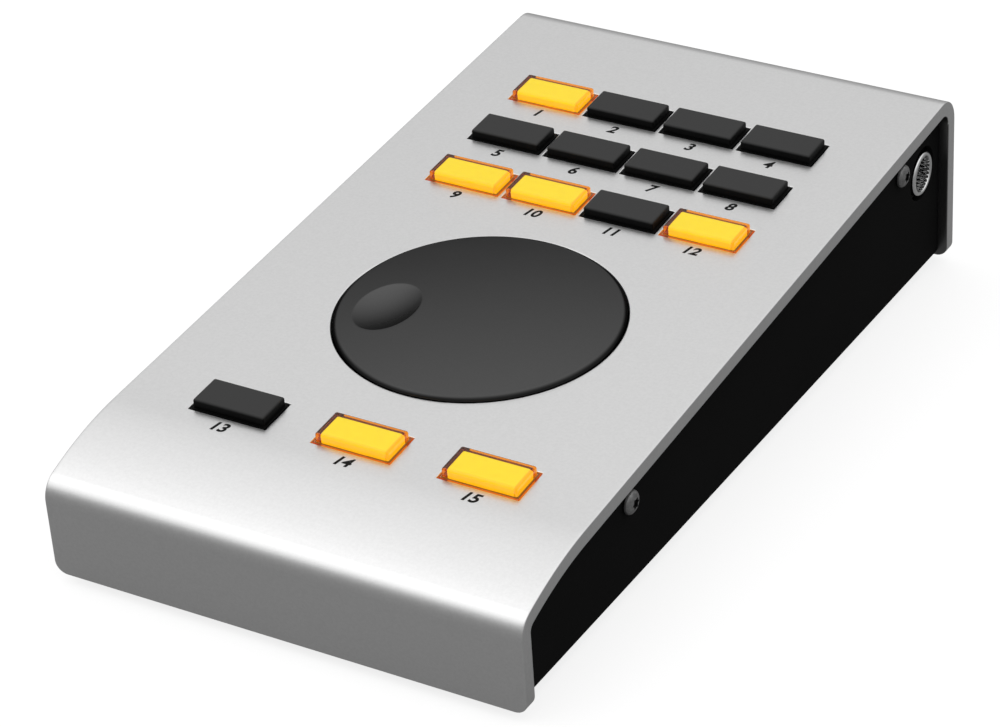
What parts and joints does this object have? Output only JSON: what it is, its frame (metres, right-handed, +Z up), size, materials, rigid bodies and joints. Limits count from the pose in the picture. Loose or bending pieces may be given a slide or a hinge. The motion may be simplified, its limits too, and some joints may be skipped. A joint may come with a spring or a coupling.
{
  "type": "audio remote control",
  "caption": "Desktop audio remote control: a sloped aluminium deck with push buttons and a large jog wheel over a black steel case, with a jack socket and a USB socket.",
  "frame": {"origin": "on the desk, under the middle of the overall box, in the plane of the four feet", "axes": "+Z up, +Y to the rear along the longest side, +X to the right as the user sees it"},
  "size_m": [0.096, 0.1856, 0.0394],
  "materials": {
    "anodised_aluminium": "blasted and anodised, satin",
    "black_coated_steel": "fine black powder coat",
    "black_zinc_steel": "dark plated",
    "bright_steel": "bright plated",
    "polished_nickel": "polished",
    "brass_nut": "plain",
    "wheel_grey": "satin dark grey",
    "cap_dark": "smooth, dark",
    "amber_clear": "clear amber",
    "diffuser_yellow": "glowing yellow diffuser",
    "switch_black": "matte",
    "socket_black": "matte",
    "encoder_blue": "matte",
    "board_green": "solder mask",
    "chip_black": "moulded",
    "foot_rubber": "matte"
  },
  "bodies": {
    "console": {"top_cover": "anodised_aluminium", "bottom_case": "black_coated_steel", "encoder_body": "encoder_blue", "encoder_nut": "brass_nut", "main_board": "board_green", "controller_chip": "chip_black", "jack_body": "socket_black", "jack_sleeve": "polished_nickel", "usb_shell": "bright_steel", "usb_insulator": "socket_black", "foot_front_left": "foot_rubber", "side_screw_front_left": "black_zinc_steel", "board_screw_front_left": "bright_steel", "foot_front_right": "foot_rubber", "side_screw_front_right": "black_zinc_steel", "board_screw_front_right": "bright_steel", "foot_rear_left": "foot_rubber", "side_screw_rear_left": "black_zinc_steel", "board_screw_rear_left": "bright_steel", "foot_rear_right": "foot_rubber", "side_screw_rear_right": "black_zinc_steel", "board_screw_rear_right": "bright_steel", "switch_1": "switch_black", "switch_2": "switch_black", "switch_3": "switch_black", "switch_4": "switch_black", "switch_5": "switch_black", "switch_6": "switch_black", "switch_7": "switch_black", "switch_8": "switch_black", "switch_9": "switch_black", "switch_10": "switch_black", "switch_11": "switch_black", "switch_12": "switch_black", "switch_13": "switch_black", "switch_14": "switch_black", "switch_15": "switch_black"},
    "button_1": {"button_cap_1": "amber_clear", "light_insert_1": "diffuser_yellow"},
    "button_2": {"button_cap_2": "cap_dark"},
    "button_3": {"button_cap_3": "cap_dark"},
    "button_4": {"button_cap_4": "cap_dark"},
    "button_5": {"button_cap_5": "cap_dark"},
    "button_6": {"button_cap_6": "cap_dark"},
    "button_7": {"button_cap_7": "cap_dark"},
    "button_8": {"button_cap_8": "cap_dark"},
    "button_9": {"button_cap_9": "amber_clear", "light_insert_9": "diffuser_yellow"},
    "button_10": {"button_cap_10": "amber_clear", "light_insert_10": "diffuser_yellow"},
    "button_11": {"button_cap_11": "cap_dark"},
    "button_12": {"button_cap_12": "amber_clear", "light_insert_12": "diffuser_yellow"},
    "button_13": {"button_cap_13": "cap_dark"},
    "button_14": {"button_cap_14": "amber_clear", "light_insert_14": "diffuser_yellow"},
    "button_15": {"button_cap_15": "amber_clear", "light_insert_15": "diffuser_yellow"},
    "wheel": {"jog_wheel": "wheel_grey", "encoder_shaft": "bright_steel"}
  },
  "joints": [
    {"name": "button_1_press", "type": "slide", "parent": "console", "child": "button_1", "axis": [0, 0.0812, -0.9967], "range_m": [0, 0.0008], "stiffness_N_per_m": 1000, "springref_m": -0.0005},
    {"name": "button_2_press", "type": "slide", "parent": "console", "child": "button_2", "axis": [0, 0.0812, -0.9967], "range_m": [0, 0.0008], "stiffness_N_per_m": 1000, "springref_m": -0.0005},
    {"name": "button_3_press", "type": "slide", "parent": "console", "child": "button_3", "axis": [0, 0.0812, -0.9967], "range_m": [0, 0.0008], "stiffness_N_per_m": 1000, "springref_m": -0.0005},
    {"name": "button_4_press", "type": "slide", "parent": "console", "child": "button_4", "axis": [0, 0.0812, -0.9967], "range_m": [0, 0.0008], "stiffness_N_per_m": 1000, "springref_m": -0.0005},
    {"name": "button_5_press", "type": "slide", "parent": "console", "child": "button_5", "axis": [0, 0.0812, -0.9967], "range_m": [0, 0.0008], "stiffness_N_per_m": 1000, "springref_m": -0.0005},
    {"name": "button_6_press", "type": "slide", "parent": "console", "child": "button_6", "axis": [0, 0.0812, -0.9967], "range_m": [0, 0.0008], "stiffness_N_per_m": 1000, "springref_m": -0.0005},
    {"name": "button_7_press", "type": "slide", "parent": "console", "child": "button_7", "axis": [0, 0.0812, -0.9967], "range_m": [0, 0.0008], "stiffness_N_per_m": 1000, "springref_m": -0.0005},
    {"name": "button_8_press", "type": "slide", "parent": "console", "child": "button_8", "axis": [0, 0.0812, -0.9967], "range_m": [0, 0.0008], "stiffness_N_per_m": 1000, "springref_m": -0.0005},
    {"name": "button_9_press", "type": "slide", "parent": "console", "child": "button_9", "axis": [0, 0.0812, -0.9967], "range_m": [0, 0.0008], "stiffness_N_per_m": 1000, "springref_m": -0.0005},
    {"name": "button_10_press", "type": "slide", "parent": "console", "child": "button_10", "axis": [0, 0.0812, -0.9967], "range_m": [0, 0.0008], "stiffness_N_per_m": 1000, "springref_m": -0.0005},
    {"name": "button_11_press", "type": "slide", "parent": "console", "child": "button_11", "axis": [0, 0.0812, -0.9967], "range_m": [0, 0.0008], "stiffness_N_per_m": 1000, "springref_m": -0.0005},
    {"name": "button_12_press", "type": "slide", "parent": "console", "child": "button_12", "axis": [0, 0.0812, -0.9967], "range_m": [0, 0.0008], "stiffness_N_per_m": 1000, "springref_m": -0.0005},
    {"name": "button_13_press", "type": "slide", "parent": "console", "child": "button_13", "axis": [0, 0.0812, -0.9967], "range_m": [0, 0.0008], "stiffness_N_per_m": 1000, "springref_m": -0.0005},
    {"name": "button_14_press", "type": "slide", "parent": "console", "child": "button_14", "axis": [0, 0.0812, -0.9967], "range_m": [0, 0.0008], "stiffness_N_per_m": 1000, "springref_m": -0.0005},
    {"name": "button_15_press", "type": "slide", "parent": "console", "child": "button_15", "axis": [0, 0.0812, -0.9967], "range_m": [0, 0.0008], "stiffness_N_per_m": 1000, "springref_m": -0.0005},
    {"name": "wheel_turn", "type": "hinge", "parent": "console", "child": "wheel", "pos_m": [0, -0.0206, 0.03094], "axis": [0, -0.0812, 0.9967], "continuous": true}
  ]
}
